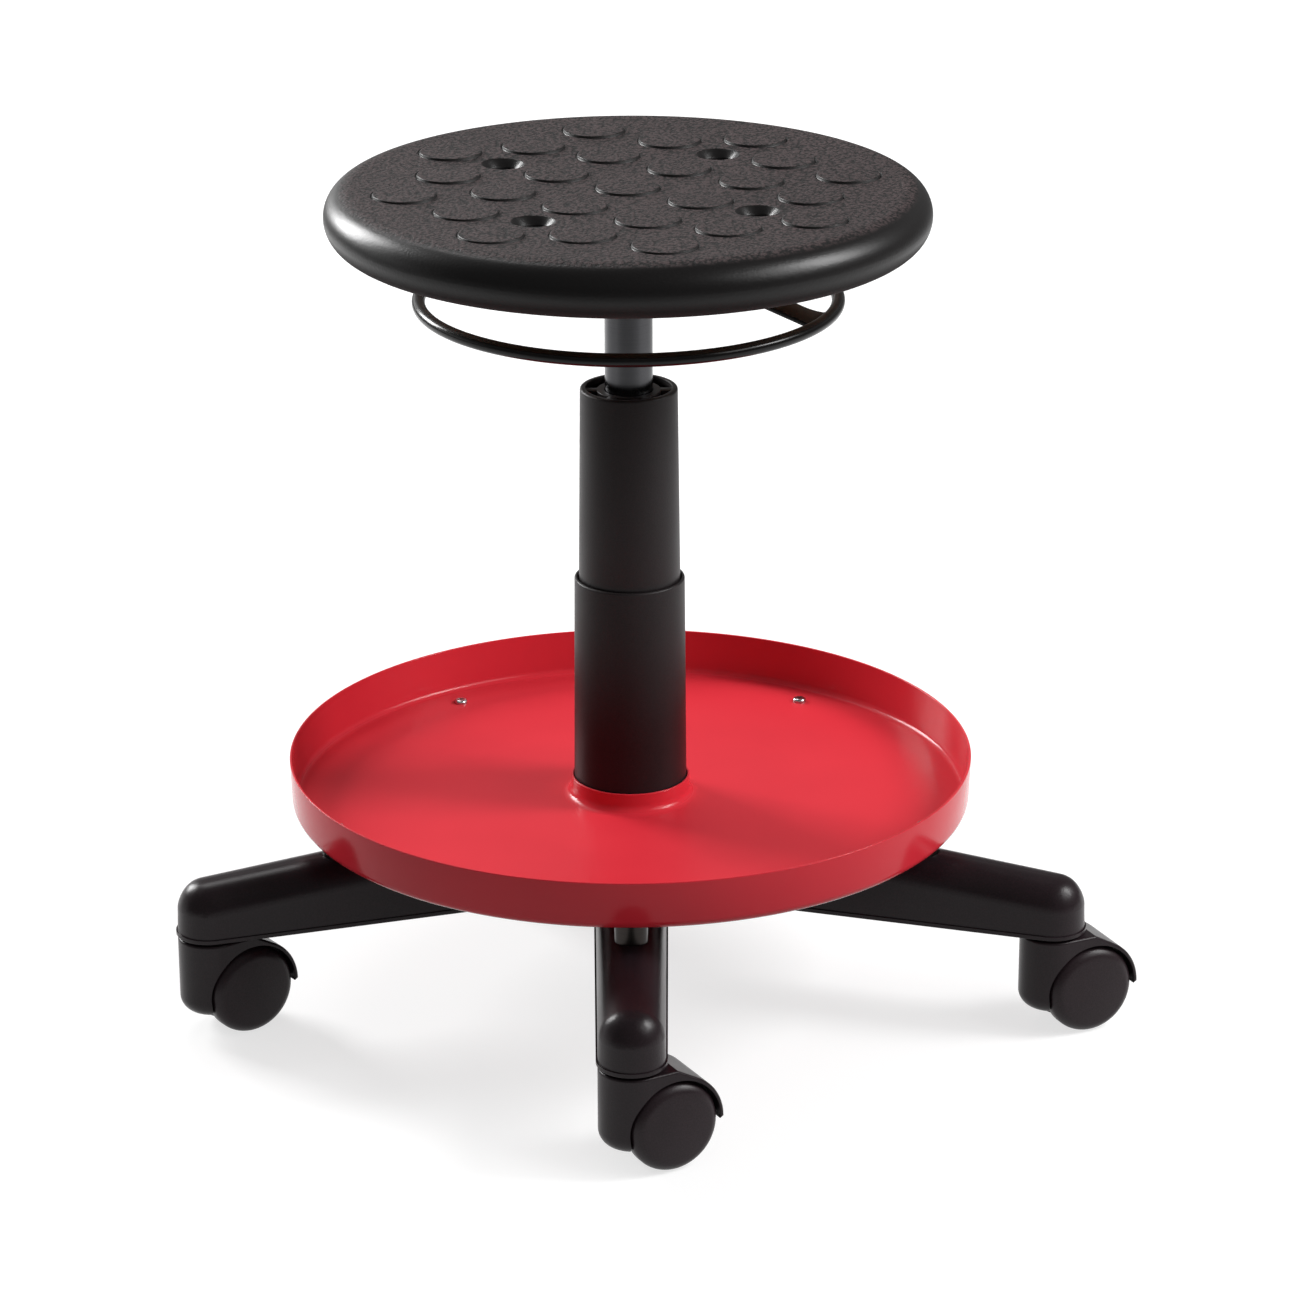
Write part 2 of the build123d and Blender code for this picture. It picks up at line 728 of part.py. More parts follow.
def write_gas_spring():
    """Rod, piston, guide, seals, cylinder and valve."""
    clip_top = tube_bottom_z - end_play - clip_washer_h
    piston_r = cylinder_bore_r - run_fit
    piston_top = piston_z + piston_h
    seal_z = piston_z + (piston_h - piston_seal_h) / 2
    with BuildPart() as rod:
        with BuildSketch(Plane.XZ):
            with BuildLine():
                Polyline(
                    (0, clip_top - 2 * clip_h),
                    (shank_r, clip_top - 2 * clip_h),
                    (shank_r, clip_top - clip_h),
                    (shank_r - clip_groove, clip_top - clip_h),
                    (shank_r - clip_groove, clip_top),
                    (shank_r, clip_top),
                    (shank_r, shoulder_z),
                    (rod_r, shoulder_z),
                    (rod_r, piston_z),
                    (shank_r, piston_z),
                    (shank_r, piston_top),
                    (rod_r, piston_top),
                    (rod_r, piston_top + rod_head_h),
                    (0, piston_top + rod_head_h),
                    close=True,
                )
            make_face()
        revolve(axis=Axis.Z)
    save(rod.part, "piston_rod")
    with BuildPart() as piston:
        with BuildSketch(Plane.XY.offset(piston_z)):
            Circle(piston_r)
            Circle(shank_r, mode=Mode.SUBTRACT)
        extrude(amount=piston_h)
        with BuildSketch(Plane.XY.offset(seal_z)):
            Circle(piston_r)
            Circle(piston_r - piston_seal_depth, mode=Mode.SUBTRACT)
        extrude(amount=piston_seal_h, mode=Mode.SUBTRACT)
    save(piston.part, "piston")
    save(ring_solid(piston_r, piston_r - piston_seal_depth, seal_z, seal_z + piston_seal_h), "piston_seal")
    guide_top = cylinder_foot_z + guide_h
    save(ring_solid(cylinder_bore_r, rod_r + run_fit, cylinder_foot_z, guide_top), "rod_guide")
    save(ring_solid(cylinder_bore_r, rod_r + run_fit, guide_top, guide_top + rod_seal_h), "rod_seal")
    socket_top_r = cylinder_r - (cylinder_top_z - socket_z) * tan(radians(socket_taper))
    with BuildPart() as cylinder:
        with BuildSketch(Plane.XZ):
            with BuildLine():
                Polyline(
                    (cylinder_bore_r, cylinder_foot_z),
                    (cylinder_r, cylinder_foot_z),
                    (cylinder_r, socket_z),
                    (socket_top_r, cylinder_top_z),
                    (cylinder_bore_r, cylinder_top_z),
                    close=True,
                )
            make_face()
        revolve(axis=Axis.Z)
    save(cylinder.part, "gas_cylinder")
    block_z = cylinder_top_z - valve_block_h
    save(ring_solid(cylinder_bore_r, valve_pin_r + run_fit, block_z, cylinder_top_z), "valve_block")
    rise = valve_top_z - valve_crown
    half_rise = crown_at_half(valve_pin_r, valve_crown)
    with BuildPart() as pin:
        with BuildSketch(Plane.XZ):
            with BuildLine():
                Line((0, valve_top_z - valve_pin_len), (valve_pin_r, valve_top_z - valve_pin_len))
                Line((valve_pin_r, valve_top_z - valve_pin_len), (valve_pin_r, rise))
                ThreePointArc((valve_pin_r, rise), (valve_pin_r / 2, rise + half_rise), (0, valve_top_z))
                Line((0, valve_top_z), (0, valve_top_z - valve_pin_len))
            make_face()
        revolve(axis=Axis.Z)
    save(pin.part, "valve_pin")


# Under the seat
def write_socket_and_bracket():
    """Taper socket, and the channel bracket that holds it under the plate."""
    top_bore = cylinder_r - (bracket_z - socket_z) * tan(radians(socket_taper))
    floor_bore = cylinder_r - (bracket_floor_z - socket_z) * tan(radians(socket_taper))
    with BuildPart() as socket:
        with BuildSketch(Plane.XZ):
            with BuildLine():
                Polyline(
                    (cylinder_r, socket_z),
                    (socket_r, socket_z),
                    (socket_r, bracket_z),
                    (top_bore, bracket_z),
                    close=True,
                )
            make_face()
        revolve(axis=Axis.Z)
    save(socket.part, "taper_socket")
    turned = Plane.XY.rotated((0, 0, lever_azimuth))
    middle = (bracket_front - bracket_back) / 2
    length = bracket_front + bracket_back
    with BuildPart() as bracket:
        with BuildSketch(turned.offset(bracket_z)):
            with Locations((middle, 0)):
                Rectangle(length, 2 * bracket_half)
        extrude(amount=plate_z - bracket_z)
        with BuildSketch(turned.offset(bracket_floor_z)):
            with Locations((middle, 0)):
                Rectangle(length + 2 * overrun, 2 * (bracket_half - bracket_sheet))
        extrude(amount=bracket_room, mode=Mode.SUBTRACT)
        with BuildSketch(Plane.XZ):
            with BuildLine():
                Polyline(
                    (0, bracket_z),
                    (top_bore, bracket_z),
                    (floor_bore, bracket_floor_z),
                    (0, bracket_floor_z),
                    close=True,
                )
            make_face()
        revolve(axis=Axis.Z, mode=Mode.SUBTRACT)
        with BuildSketch(Plane.XZ.rotated((0, 0, lever_azimuth))):
            with Locations((pivot_offset, pivot_z)):
                Circle(pivot_pin_r)
        extrude(amount=bracket_half, both=True, mode=Mode.SUBTRACT)
    save(bracket.part, "lever_bracket")
    with BuildPart() as pin:
        with BuildSketch(Plane.XZ.rotated((0, 0, lever_azimuth))):
            with Locations((pivot_offset, pivot_z)):
                Circle(pivot_pin_r)
        extrude(amount=bracket_half, both=True)
    save(pin.part, "pivot_pin")


def write_release_lever():
    """Round ring, and the flat bar across it that presses the valve."""
    with BuildPart() as ring:
        with BuildSketch(Plane.XZ):
            with Locations((ring_r, ring_z)):
                Circle(ring_wire_r)
        revolve(axis=Axis.Z)
    save(ring.part, "release_ring")
    foot_z = ring_z - bar_sheet / 2
    profile = [
        (-ring_r, foot_z),
        (-bar_flat_back, bar_z),
        (bar_flat_front, bar_z),
        (ring_r, foot_z),
        (ring_r, foot_z + bar_sheet),
        (bar_flat_front, bar_z + bar_sheet),
        (-bar_flat_back, bar_z + bar_sheet),
        (-ring_r, foot_z + bar_sheet),
    ]
    side = Plane.XZ.rotated((0, 0, lever_azimuth))
    with BuildPart() as bar:
        with BuildSketch(side):
            with BuildLine():
                Polyline(*profile, close=True)
            make_face()
        extrude(amount=bar_half_w, both=True)
        with BuildSketch(side):
            with Locations((pivot_offset, pivot_z)):
                Circle(knuckle_r)
        extrude(amount=bar_half_w, both=True)
        with BuildSketch(side):
            with Locations((pivot_offset, pivot_z)):
                Circle(pivot_pin_r + run_fit)
        extrude(amount=bar_half_w, both=True, mode=Mode.SUBTRACT)
        add(ring.part, mode=Mode.SUBTRACT)
    save(bar.part, "lever_bar")


def bolt_locations():
    """The four corners of the seat's screw pattern."""
    return PolarLocations(hypot(bolt_half_pitch, bolt_half_pitch), 4, start_angle=plate_azimuth + 45)


def write_plate_and_fasteners():
    """Mounting plate, seat screws, washers and nuts."""
    turned = Plane.XY.rotated((0, 0, plate_azimuth))
    with BuildPart() as plate:
        with BuildSketch(turned.offset(plate_z)):
            RectangleRounded(2 * plate_half, 2 * plate_half, plate_corner_r)
        extrude(amount=plate_sheet)
        with BuildSketch(Plane.XY.offset(plate_z)):
            with bolt_locations():
                Circle(seat_screw_r + slip_fit)
        extrude(amount=plate_sheet, mode=Mode.SUBTRACT)
    save(plate.part, "mounting_plate")
    head_z = board_top_z + seat_washer_h
    tail_z = plate_z - seat_nut_h - seat_screw_tail
    with BuildPart() as screws:
        with BuildSketch(Plane.XY.offset(tail_z)):
            with bolt_locations():
                Circle(seat_screw_r)
        extrude(amount=head_z - tail_z)
        with BuildSketch(Plane.XY.offset(head_z)):
            with bolt_locations():
                Circle(seat_screw_head_r)
        extrude(amount=seat_screw_head_h)
        fillet(screws.faces().group_by(Axis.Z)[-1].edges(), seat_screw_head_round)
        with BuildSketch(Plane.XY.offset(head_z + seat_screw_head_h)):
            with bolt_locations():
                RegularPolygon(seat_screw_socket_r, 6)
        extrude(amount=-seat_screw_socket_depth, mode=Mode.SUBTRACT)
    save(screws.part, "seat_screws")
    with BuildPart() as washers:
        with BuildSketch(Plane.XY.offset(board_top_z)):
            with bolt_locations():
                Circle(seat_washer_r)
            with bolt_locations():
                Circle(seat_screw_r + slip_fit, mode=Mode.SUBTRACT)
        extrude(amount=seat_washer_h)
    save(washers.part, "seat_washers")
    with BuildPart() as nuts:
        with BuildSketch(Plane.XY.offset(plate_z)):
            with bolt_locations():
                RegularPolygon(seat_nut_r, 6)
            with bolt_locations():
                Circle(seat_screw_r, mode=Mode.SUBTRACT)
        extrude(amount=-seat_nut_h)
    save(nuts.part, "seat_nuts")


def write_seat():
    """Board and moulded foam seat with raised round pads and screw recesses."""
    with BuildPart() as board:
        with BuildSketch(Plane.XY.offset(seat_z)):
            Circle(board_r)
            with bolt_locations():
                Circle(seat_screw_r + slip_fit, mode=Mode.SUBTRACT)
        extrude(amount=board_h)
    save(board.part, "seat_board")
    nose_r = seat_h / 2
    nose_x = seat_r - nose_r
    dish_z = seat_top_z - seat_dish
    dish_middle_z = seat_top_z - crown_at_half(nose_x, seat_dish)
    stud_base_z = dish_z - 2 * stud_rise
    corner = plate_azimuth + 45
    between = plate_azimuth + 22.5
    stud_rings = (
        (1, 0, plate_azimuth),
        (4, stud_rings_r[0], corner),
        (4, stud_rings_r[1], plate_azimuth),
        (8, stud_rings_r[2], between),
        (8, stud_rings_r[3], plate_azimuth),
    )
    with BuildPart() as seat:
        with BuildSketch(Plane.XZ):
            with BuildLine():
                Line((board_r, seat_z), (nose_x, seat_z))
                ThreePointArc((nose_x, seat_z), (seat_r, seat_z + nose_r), (nose_x, seat_top_z))
                ThreePointArc((nose_x, seat_top_z), (nose_x / 2, dish_middle_z), (0, dish_z))
                Line((0, dish_z), (0, board_top_z))
                Line((0, board_top_z), (board_r, board_top_z))
                Line((board_r, board_top_z), (board_r, seat_z))
            make_face()
        revolve(axis=Axis.Z)
        with BuildSketch(Plane.XY.offset(board_top_z)):
            with bolt_locations():
                Circle(seat_recess_r)
        extrude(amount=seat_h, mode=Mode.SUBTRACT)
        upper_edges = seat.edges().filter_by(lambda e: e.center().Z > dish_z - stud_rise)
        mouths = upper_edges.filter_by(lambda e: e.length < 8 * seat_recess_r)
        fillet(mouths, seat_recess_edge_r)
        for count, radius, start in stud_rings:
            rise = seat_dish * (radius / nose_x) ** 2 + stud_rise
            with BuildSketch(Plane.XY.offset(stud_base_z)):
                with PolarLocations(radius, count, start_angle=start):
                    Circle(stud_r)
            extrude(amount=dish_z + rise - stud_base_z)
        stud_tops = seat.faces().filter_by(Axis.Z).filter_by(lambda f: f.center().Z > dish_z)
        fillet(stud_tops.edges(), stud_edge_r)
    save(seat.part, "seat_cushion")


write_casters()
write_star_base()
write_tray()
write_tray_fasteners()
write_covers()
write_stand_tube()
write_foot_bearing()
write_gas_spring()
write_socket_and_bracket()
write_release_lever()
write_plate_and_fasteners()
write_seat()
print("seat height", round(seat_top_z, 1), "tray rim", round(tray_top_z, 1), "ring", round(ring_z, 1))
print("cover tops", round(lower_cover_top_z, 1), round(upper_cover_top_z, 1))
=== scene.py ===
"""Looks of the maintenance stool: seat foam, ring lever, column, red tool tray, star base and casters."""
import json
from math import cos, pi, radians, sin

import bmesh
import bpy
from mathutils import Matrix, Vector


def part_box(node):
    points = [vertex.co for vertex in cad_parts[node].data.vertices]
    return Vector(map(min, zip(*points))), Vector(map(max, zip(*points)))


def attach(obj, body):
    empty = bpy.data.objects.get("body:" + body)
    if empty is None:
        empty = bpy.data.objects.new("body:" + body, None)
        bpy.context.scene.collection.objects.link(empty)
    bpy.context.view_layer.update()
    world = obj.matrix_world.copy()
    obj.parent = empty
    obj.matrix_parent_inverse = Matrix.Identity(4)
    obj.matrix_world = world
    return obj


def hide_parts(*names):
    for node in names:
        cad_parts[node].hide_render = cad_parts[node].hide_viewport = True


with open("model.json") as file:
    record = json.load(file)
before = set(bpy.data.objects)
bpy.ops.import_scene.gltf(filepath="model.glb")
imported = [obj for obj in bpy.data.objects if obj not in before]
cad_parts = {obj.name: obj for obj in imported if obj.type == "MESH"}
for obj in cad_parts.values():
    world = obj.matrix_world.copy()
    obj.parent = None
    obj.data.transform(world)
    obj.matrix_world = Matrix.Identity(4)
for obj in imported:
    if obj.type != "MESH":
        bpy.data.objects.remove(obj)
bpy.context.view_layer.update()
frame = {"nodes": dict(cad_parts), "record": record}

# Lengths of the stool are in millimetres and turned to metres by mm. Colours are sRGB, as seen on screen.
mm = 0.001

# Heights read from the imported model
seat_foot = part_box("seat_cushion")[0].z / mm
seat_rim_top = 492.36
board_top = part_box("seat_board")[1].z / mm
tray_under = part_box("tool_tray")[0].z / mm
cover_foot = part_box("lower_cover")[0].z / mm
cover_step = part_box("lower_cover")[1].z / mm
sleeve_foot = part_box("upper_cover")[0].z / mm
sleeve_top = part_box("upper_cover")[1].z / mm
bar_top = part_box("lever_bar")[1].z / mm
ring_height = (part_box("release_ring")[0].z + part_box("release_ring")[1].z) / 2 / mm

# Seat foam. A row of stud_rings has the number of studs, their distance from the middle and the first one's angle.
seat_r = 174.5
seat_nose = 16.0
seat_flat_r = seat_r - seat_nose
seat_dish = 1.9
seat_turn = 9.0
board_r = 150.0
stud_r = 18.25
stud_groove = 1.6
stud_rings = (
    (1, 0.0, 0.0),
    (4, 50.8, 45.0),
    (4, 71.8, 0.0),
    (8, 106.4, 22.5),
    (8, 128.5, 0.0),
)
# From the groove inward: how far outside stud_r each loop of a stud lies, and its rise over the last one
stud_loops = (
    (1.3, 0.0), (0.9, -0.2), (0.45, -0.25), (0.12, 0.35), (0.0, 0.9), (-0.12, 0.22), (-0.4, 0.13), (-0.9, 0.05),
    (-2.0, 0.0),
)
well_half_pitch = 63.5
well_mouth = 12.2
well_bore = 8.3
well_depth = 9.0
well_margin = 2.0
small_circle = 56

# Casters
trail_turns = (29.0, 25.1, 30.0, 30.0, 35.6)
leg_start = -90
leg_step = 72
stem_reach = 260.1
trail = 18.0
wheel_r = 26.8
wheel_w = 11.3
wheel_face = 8.5
wheel_crown = 2.4
wheel_roll = 6.2


# Shapes
def half_section(corners, closed=True, steps=5):
    """Draws a half-section from (radius, height, round) corners in the XZ plane and rounds its corners."""
    shape = bmesh.new()
    points = [shape.verts.new((x * mm, 0, z * mm)) for x, z, _ in corners]
    following = points[1:] + points[:1] if closed else points[1:]
    for start, end in zip(points, following):
        shape.edges.new((start, end))
    for point, (_, _, rounding) in zip(points, corners):
        if rounding:
            bmesh.ops.bevel(
                shape, geom=[point], offset=rounding * mm, offset_type="OFFSET", segments=steps,
                profile=0.5, material=-1, affect="VERTICES",
            )
    return shape


def spin_round(shape, steps):
    """Spins all that is drawn so far a full turn round the vertical axis."""
    bmesh.ops.spin(
        shape, geom=shape.verts[:] + shape.edges[:], cent=(0, 0, 0), axis=(0, 0, 1),
        angle=2 * pi, steps=steps, use_merge=True,
    )
    bmesh.ops.remove_doubles(shape, verts=shape.verts[:], dist=0.001 * mm)
    bmesh.ops.recalc_face_normals(shape, faces=shape.faces[:])
    return shape


def round_edges(shape, edges, rounding):
    """Rounds edges with two segments."""
    bmesh.ops.bevel(
        shape, geom=edges, offset=rounding * mm, offset_type="OFFSET", segments=2, profile=0.5,
        material=-1, affect="EDGES",
    )


def edges_of(verts):
    """All edges that touch some vertices."""
    return list({edge for vert in verts for edge in vert.link_edges})


def join(shape, part):
    """Moves one finished shape into another."""
    spare = bpy.data.meshes.new("spare")
    part.to_mesh(spare)
    part.free()
    shape.from_mesh(spare)
    bpy.data.meshes.remove(spare)


def piece_of(name, shape, finish, body, nodes=(), sharp=40):
    """Turns a finished shape into a piece that rides on its body and stands for CAD nodes."""
    mesh = bpy.data.meshes.new(name)
    shape.to_mesh(mesh)
    shape.free()
    mesh.materials.append(finish)
    mesh.shade_smooth()
    mesh.set_sharp_from_angle(angle=radians(sharp))
    piece = bpy.data.objects.new(name, mesh)
    bpy.context.collection.objects.link(piece)
    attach(piece, body)
    if nodes:
        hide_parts(*nodes)
    return piece


# Node helpers
def linear(code):
    """The linear colour of an sRGB hex code."""
    parts = [int(code[k:k + 2], 16) / 255 for k in (0, 2, 4)]
    return [p / 12.92 if p <= 0.04045 else ((p + 0.055) / 1.055) ** 2.4 for p in parts] + [1.0]


def add_node(tree, kind, values=None, links=None, **settings):
    """Adds one node with its settings, socket values and incoming links."""
    made = tree.nodes.new(kind)
    for key, value in settings.items():
        setattr(made, key, value)
    for key, value in (values or {}).items():
        made.inputs[key].default_value = value
    for key, source in (links or {}).items():
        tree.links.new(source, made.inputs[key])
    return made


def new_finish(name, **sockets):
    """A material with its shader, and the Object coordinates that its patterns read."""
    finish = bpy.data.materials.new(name)
    finish.use_nodes = True
    tree = finish.node_tree
    shader = tree.nodes["Principled BSDF"]
    for key, value in sockets.items():
        shader.inputs[key.replace("_", " ")].default_value = value
    where = add_node(tree, "ShaderNodeTexCoord").outputs["Object"]
    return finish, tree, shader, where


def noise(tree, where, size, detail, **values):
    """Noise whose forms are about so many millimetres wide."""
    values = {"Scale": 1 / (size * mm), "Detail": detail, **values}
    return add_node(tree, "ShaderNodeTexNoise", values, {"Vector": where}).outputs["Fac"]


def tint(tree, dark, light, share):
    """A colour between two hex codes."""
    mixed = add_node(tree, "ShaderNodeMix", {6: linear(dark), 7: linear(light)}, {0: share}, data_type="RGBA")
    return mixed.outputs[2]


def spread(tree, source, low, high):
    """A value from low to high, as its source goes from zero to one."""
    return add_node(tree, "ShaderNodeMapRange", {"To Min": low, "To Max": high}, {"Value": source}).outputs[0]


def scaled_sum(tree, source, factor, other):
    """One value times a factor, plus another value."""
    made = add_node(tree, "ShaderNodeMath", {1: factor}, {0: source, 2: other}, operation="MULTIPLY_ADD")
    return made.outputs[0]


def upward_share(tree):
    """How far a face looks up: one on a level top, zero on a wall, minus one below."""
    facing = add_node(tree, "ShaderNodeNewGeometry").outputs["Normal"]
    return add_node(tree, "ShaderNodeSeparateXYZ", None, {0: facing}).outputs["Z"]


def dress(tree, shader, colour, gloss, height, depth):
    """Links a colour, a roughness if there is one, and a relief of some depth to the shader."""
    bump = add_node(tree, "ShaderNodeBump", {"Distance": depth * mm, "Strength": 1.0}, {"Height": height})
    tree.links.new(colour, shader.inputs["Base Color"])
    if gloss:
        tree.links.new(gloss, shader.inputs["Roughness"])
    tree.links.new(bump.outputs[0], shader.inputs["Normal"])


# Finishes
def moulded(name, dark, light, roughness, grain, depth, level, ior):
    """Spark-eroded mould texture: a fine pebble grain, with slow changes of tone and gloss."""
    finish, tree, shader, where = new_finish(name, IOR=ior, Specular_IOR_Level=level)
    tone = noise(tree, where, 38, 3.0)
    speck = noise(tree, where, grain, 2.0)
    both = scaled_sum(tree, tone, 0.5, speck)
    share = add_node(tree, "ShaderNodeMapRange", {"From Min": 0.55, "From Max": 0.95}, {"Value": both})
    gloss = spread(tree, tone, roughness - 0.05, roughness + 0.07)
    dress(tree, shader, tint(tree, dark, light, share.outputs[0]), gloss, speck, depth)
    return finish


def powder_coat(name, dark, light, roughness, scuffed, peel, depth, level):
    """Baked powder coat: gloss with a faint orange peel, and dull where things are laid on level faces."""
    finish, tree, shader, where = new_finish(name, IOR=1.5, Specular_IOR_Level=level)
    tone = noise(tree, where, 60, 2.0)
    skin = noise(tree, where, peel, 1.0)
    laid_on = add_node(
        tree, "ShaderNodeMapRange", {"From Min": 0.6, "From Max": 0.98, "To Min": roughness, "To Max": scuffed},
        {"Value": upward_share(tree)}, interpolation_type="SMOOTHSTEP",
    )
    gloss = scaled_sum(tree, tone, 0.06, laid_on.outputs[0])
    dress(tree, shader, tint(tree, dark, light, tone), gloss, skin, depth)
    return finish


def turned_metal(name, dark, light, roughness, pitch):
    """Drawn or turned metal: fine rings across the axis, as the die or the lathe leaves them."""
    finish, tree, shader, where = new_finish(name, Metallic=1.0)
    rings = add_node(tree, "ShaderNodeMapping", {"Scale": (0.02, 0.02, 1.0)}, {"Vector": where})
    lines = noise(tree, rings.outputs[0], pitch, 3.0)
    gloss = spread(tree, lines, roughness - 0.06, roughness + 0.08)
    dress(tree, shader, tint(tree, dark, light, lines), gloss, lines, 0.01)
    return finish


def plywood_sheet():
    """Rotary-cut birch: long grain across the sheet, with a dry, open surface."""
    finish, tree, shader, where = new_finish("birch_plywood", IOR=1.5, Roughness=0.7)
    along = add_node(tree, "ShaderNodeMapping", {"Scale": (0.08, 1.0, 1.0)}, {"Vector": where})
    grain = noise(tree, along.outputs[0], 3, 5.0, Distortion=0.4)
    dress(tree, shader, tint(tree, "A98256", "D2B083", grain), None, grain, 0.1)
    return finish


def seat_foam():
    """Self-skinning foam: the mould's grain on all that faces up, painted lighter there than on the sides as a
    painted sheen, a satin skin on edges and lips, dull below.
    """
    finish, tree, shader, where = new_finish("polyurethane_foam_skin", IOR=1.48, Specular_IOR_Level=0.30)
    upright = upward_share(tree)
    # The mould's grain and the top's painted sheen stop where the skin turns away from the top; the studs' walls take
    # the dark skin colour too, which draws their outlines as painted shade
    top_grain_and_sheen = add_node(
        tree, "ShaderNodeMapRange", {"From Min": 0.84, "From Max": 0.98}, {"Value": upright},
        interpolation_type="SMOOTHSTEP",
    )
    # Grain: raised specks of about 2 mm, crowded, with finer ones between
    coarse = noise(tree, where, 3.0, 3.0, Roughness=0.7)
    fine = add_node(
        tree, "ShaderNodeTexVoronoi", {"Scale": 1 / (2.1 * mm), "Randomness": 1.0}, {"Vector": where},
    )
    grain = scaled_sum(tree, fine.outputs["Distance"], -0.45, coarse)
    height = add_node(tree, "ShaderNodeMath", None, {0: grain, 1: top_grain_and_sheen.outputs[0]}, operation="MULTIPLY")
    pores = noise(tree, where, 1.6, 2.0)
    relief = scaled_sum(tree, pores, 0.12, height.outputs[0])
    specks = add_node(tree, "ShaderNodeMapRange", {"From Min": 0.19, "From Max": 0.35}, {"Value": grain})
    # Painted sheen: the top's colour is made lighter than the sides' to stand for the light from above, with slow
    # random changes of tone
    painted_sheen_tone = tint(tree, "372C2D", "453939", noise(tree, where, 70, 3.0))
    painted_sheen_top = add_node(
        tree, "ShaderNodeMix", {6: linear("0A0707")}, {0: specks.outputs[0], 7: painted_sheen_tone}, data_type="RGBA",
    )
    edge = tint(tree, "0B0909", "121010", pores)
    # Faces looking up take the painted sheen colour; the sides, well lips and studs' walls take the dark skin colour,
    # which outlines the studs as painted shade
    colour = add_node(
        tree, "ShaderNodeMix", None, {0: top_grain_and_sheen.outputs[0], 6: edge, 7: painted_sheen_top.outputs[2]}, data_type="RGBA",
    )
    below = add_node(
        tree, "ShaderNodeMapRange", {"From Min": -0.2, "From Max": -0.6, "To Min": 0.34, "To Max": 0.85},
        {"Value": upright},
    )
    # Inside the rim only the wells' sloping mouths are smooth, and the studs' sides are as dull as the top
    steep = add_node(
        tree, "ShaderNodeMapRange", {"From Min": 0.5, "From Max": 0.6}, {"Value": upright},
        interpolation_type="SMOOTHSTEP",
    )
    level = add_node(tree, "ShaderNodeVectorMath", {1: (1, 1, 0)}, {0: where}, operation="MULTIPLY")
    reach = add_node(tree, "ShaderNodeVectorMath", None, {0: level.outputs[0]}, operation="LENGTH")
    inside = add_node(
        tree, "ShaderNodeMapRange", {"From Min": seat_flat_r * mm, "From Max": (seat_flat_r - 4) * mm},
        {"Value": reach.outputs["Value"]},
    )
    side = add_node(
        tree, "ShaderNodeMath", None, {0: inside.outputs[0], 1: steep.outputs[0]},
        operation="SUBTRACT", use_clamp=True,
    )
    dull = add_node(tree, "ShaderNodeMath", None, {0: side.outputs[0], 1: top_grain_and_sheen.outputs[0]}, operation="MAXIMUM")
    gloss = add_node(tree, "ShaderNodeMix", {3: 0.6}, {0: dull.outputs[0], 2: below.outputs[0]}, data_type="FLOAT")
    dress(tree, shader, colour.outputs[2], gloss.outputs[0], relief, 0.7)
    return finish


finishes = {
    # Skin of moulded foam: dark, with a dull grained top that is painted lighter as a sheen of the light from above
    "seat_foam": seat_foam(),
    # Glass-filled nylon: satin black with a warm cast
    "black_nylon": moulded("glass_filled_nylon", "1A1215", "23191D", 0.31, 0.9, 0.05, 0.2, 1.53),
    # Unfilled nylon wheels: a little duller and warmer
    "wheel_nylon": moulded("nylon_wheel", "1F1619", "291F23", 0.36, 0.8, 0.04, 0.2, 1.53),
    # Polypropylene tubes: matt and slightly grey
    "cover_plastic": moulded("polypropylene", "1B1718", "221E1F", 0.44, 0.7, 0.04, 0.24, 1.49),
    # Red powder coat on pressed steel: gloss, so floor and legs show in its wall
    "red_enamel": powder_coat("red_powder_coat", "C22834", "CC2E39", 0.12, 0.34, 2.2, 0.012, 0.16),
    # Black powder coat on wire and plate
    "black_enamel": powder_coat("black_powder_coat", "0E0D0D", "131212", 0.15, 0.45, 1.6, 0.015, 0.2),
    # Blackened drawn steel: a dark grey mirror, a little blurred
    "tube_steel": turned_metal("blackened_steel", "48484A", "565658", 0.22, 0.8),
    # Turned steel sleeve, oiled dark
    "spacer_steel": turned_metal("oiled_steel", "2B2827", "373331", 0.3, 0.6),
    # Zinc plate: bright, with a faint grey bloom
    "bright_steel": turned_metal("zinc_plate", "B4B5B8", "CFD0D2", 0.24, 0.5),
    # Turned aluminium
    "aluminium": turned_metal("turned_aluminium", "A9ABAE", "C2C4C6", 0.32, 0.6),
    # Nitrile rubber: black and dull
    "rubber": moulded("nitrile_rubber", "171717", "1F1E1E", 0.7, 1.2, 0.05, 0.3, 1.52),
    # Natural acetal: milky white
    "pale_nylon": moulded("natural_acetal", "D9D5C8", "E4E0D4", 0.45, 0.9, 0.03, 0.4, 1.48),
    # Birch plywood, seen only from below
    "plywood": plywood_sheet(),
}

# Every CAD node takes the finish of its slot
for entry in frame["record"]["subparts"]:
    node = frame["nodes"][entry["node"]]
    node.data.materials.clear()
    node.data.materials.append(finishes[entry["material_slot"]])


# Seat
def loop_of(shape, radius, x, y):
    """Adds a circle of edges at a place on the seat's top and returns its edges."""
    at = Matrix.Translation((x * mm, y * mm, seat_rim_top * mm))
    made = bmesh.ops.create_circle(shape, cap_ends=False, segments=small_circle, radius=radius * mm, matrix=at)
    return edges_of(made["verts"])


